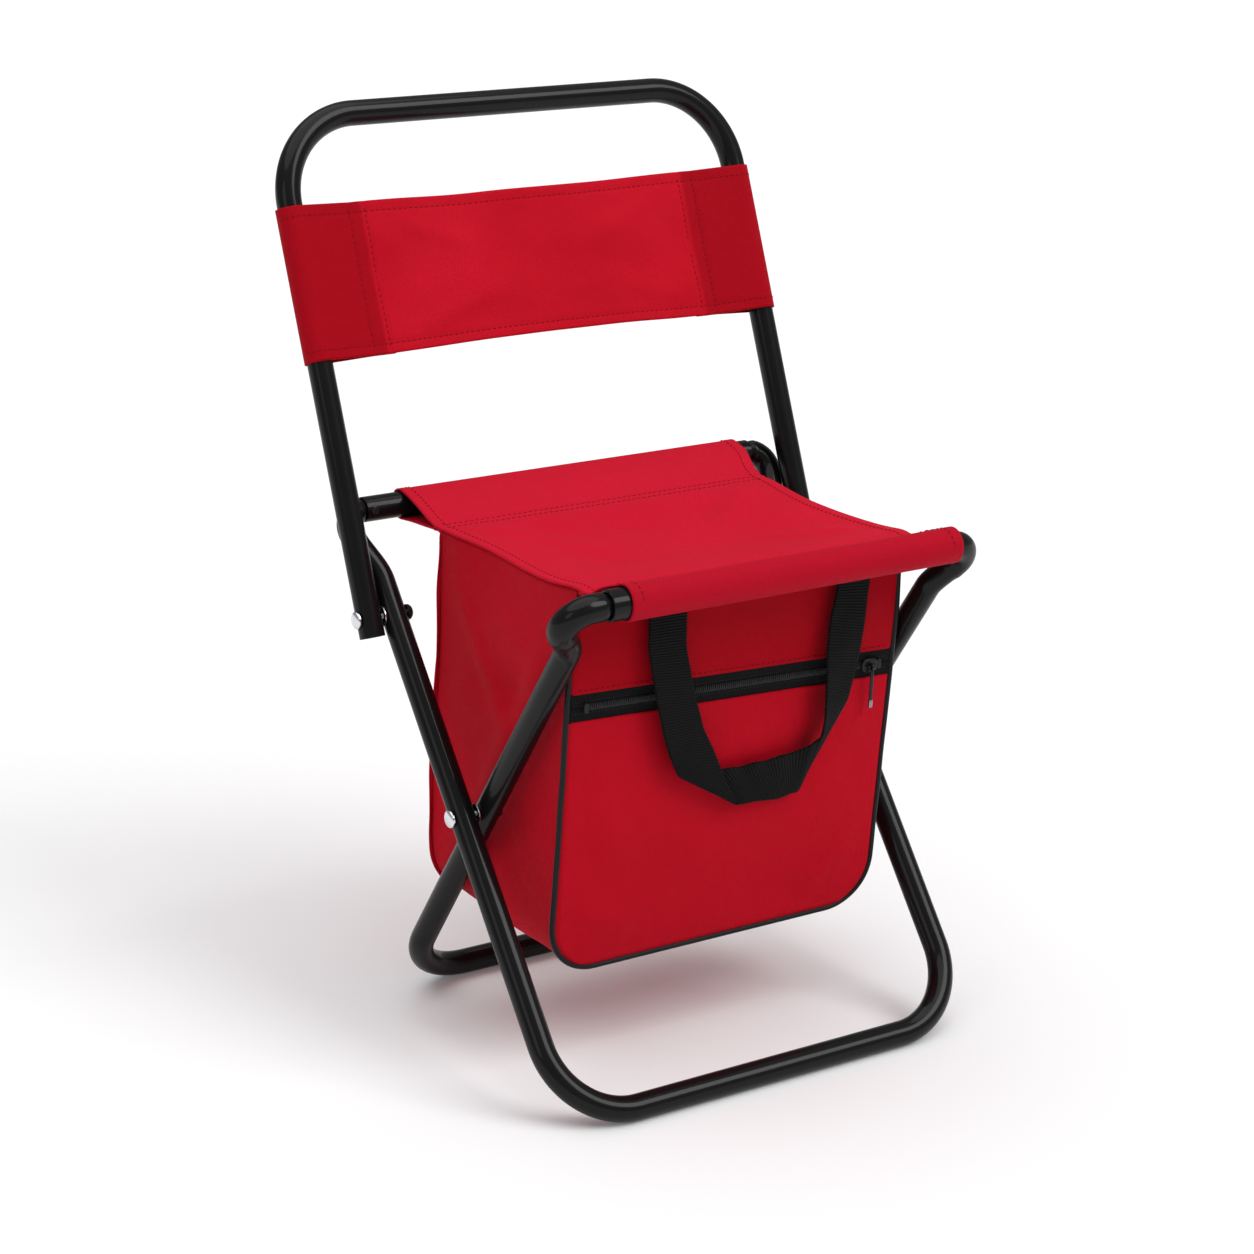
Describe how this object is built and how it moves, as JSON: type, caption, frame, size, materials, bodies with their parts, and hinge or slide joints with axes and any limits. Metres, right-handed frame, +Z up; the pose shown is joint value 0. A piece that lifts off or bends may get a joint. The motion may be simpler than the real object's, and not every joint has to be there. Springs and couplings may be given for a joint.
{
  "type": "folding cooler stool",
  "caption": "Folding stool: crossed U-tube legs, cloth seat with an insulated zip bag sewn under it, hinged backrest with a cloth band, webbing handle.",
  "frame": {"origin": "on the floor, in the middle of the opened stool's outline", "axes": "+Z up; whoever sits on it faces -Y; +X is to the right of someone looking at its front"},
  "size_m": [0.3556, 0.3576, 0.5566],
  "materials": {
    "black_paint": "semi-gloss powder coat",
    "bright_metal": "bright zinc plate",
    "black_metal": "black plated steel",
    "zip_metal": "black enamelled zinc",
    "red_cloth": "coated woven polyester, matt",
    "black_tape": "woven zip tape",
    "zip_teeth": "nylon coil",
    "black_binding": "folded binding over cord",
    "black_webbing": "ribbed polypropylene webbing",
    "foil_foam": "silver film on soft foam"
  },
  "bodies": {
    "front_leg_frame": {"front_leg_tube": "black_paint", "rear_seat_rail": "black_paint", "rear_rail_rivet_left": "black_metal", "rear_rail_rivet_right": "black_metal", "cross_rivet_left": "bright_metal", "cross_rivet_right": "bright_metal", "cross_washer_left": "bright_metal", "cross_washer_right": "bright_metal", "backrest_bolt_left": "bright_metal", "backrest_bolt_right": "bright_metal", "backrest_nut_left": "black_metal", "backrest_nut_right": "black_metal", "backrest_washer_left": "bright_metal", "backrest_washer_right": "bright_metal", "seat_sling": "red_cloth"},
    "rear_leg_frame": {"rear_leg_tube": "black_paint", "front_seat_rail": "black_paint", "front_rail_rivet_left": "black_metal", "front_rail_rivet_right": "black_metal"},
    "backrest": {"backrest_tube": "black_paint", "backrest_band": "red_cloth"},
    "bag_back": {"bag_back_panel": "red_cloth", "bag_gusset": "red_cloth", "bag_liner": "foil_foam"},
    "bag_front": {"bag_front_lower": "red_cloth", "bag_front_upper": "red_cloth", "bag_front_piping": "black_binding", "zip_tape_lower": "black_tape", "zip_tape_upper": "black_tape", "zip_coil": "zip_teeth", "zip_stop_left": "zip_metal", "zip_stop_right": "zip_metal", "handle_end_left": "black_webbing", "handle_end_right": "black_webbing"},
    "zip_slider": {"zip_slider": "zip_metal"},
    "zip_pull": {"zip_pull": "zip_metal"},
    "carry_handle": {"carry_handle": "black_webbing"}
  },
  "joints": [
    {"name": "leg_fold", "type": "hinge", "parent": "front_leg_frame", "child": "rear_leg_frame", "pos_m": [0, -0.04322, 0.15891], "axis": [-1, 0, 0], "range_deg": [0, 67], "deforming": ["seat_sling", "bag_gusset", "bag_liner"]},
    {"name": "backrest_fold", "type": "hinge", "parent": "front_leg_frame", "child": "backrest", "pos_m": [0, 0.04393, 0.26204], "axis": [1, 0, 0], "range_deg": [0, 157.5]},
    {"name": "bag_swing", "type": "hinge", "parent": "front_leg_frame", "child": "bag_back", "pos_m": [0, 0.02005, 0.2522], "axis": [-1, 0, 0], "range_deg": [0, 38.3]},
    {"name": "bag_collapse", "type": "slide", "parent": "bag_back", "child": "bag_front", "axis": [0, 1, 0], "range_m": [0, 0.1325]},
    {"name": "zip_slide", "type": "slide", "parent": "bag_front", "child": "zip_slider", "axis": [-0.9992, -0.0024, 0.0401], "range_m": [0, 0.2021]},
    {"name": "zip_pull_swing", "type": "hinge", "parent": "zip_slider", "child": "zip_pull", "pos_m": [0.1011, -0.11694, 0.23696], "axis": [-1, 0, 0], "range_deg": [0, 160]},
    {"name": "handle_swing", "type": "hinge", "parent": "bag_front", "child": "carry_handle", "pos_m": [0.0077, -0.12611, 0.31223], "axis": [-1, 0, 0], "range_deg": [0, 85]}
  ],
  "couplings": [
    {"joint": "backrest_fold", "follows": "leg_fold", "ratio": 2.35},
    {"joint": "bag_swing", "follows": "leg_fold", "ratio": 0.57},
    {"joint": "bag_collapse", "follows": "leg_fold", "m_per_rad": 0.113}
  ]
}
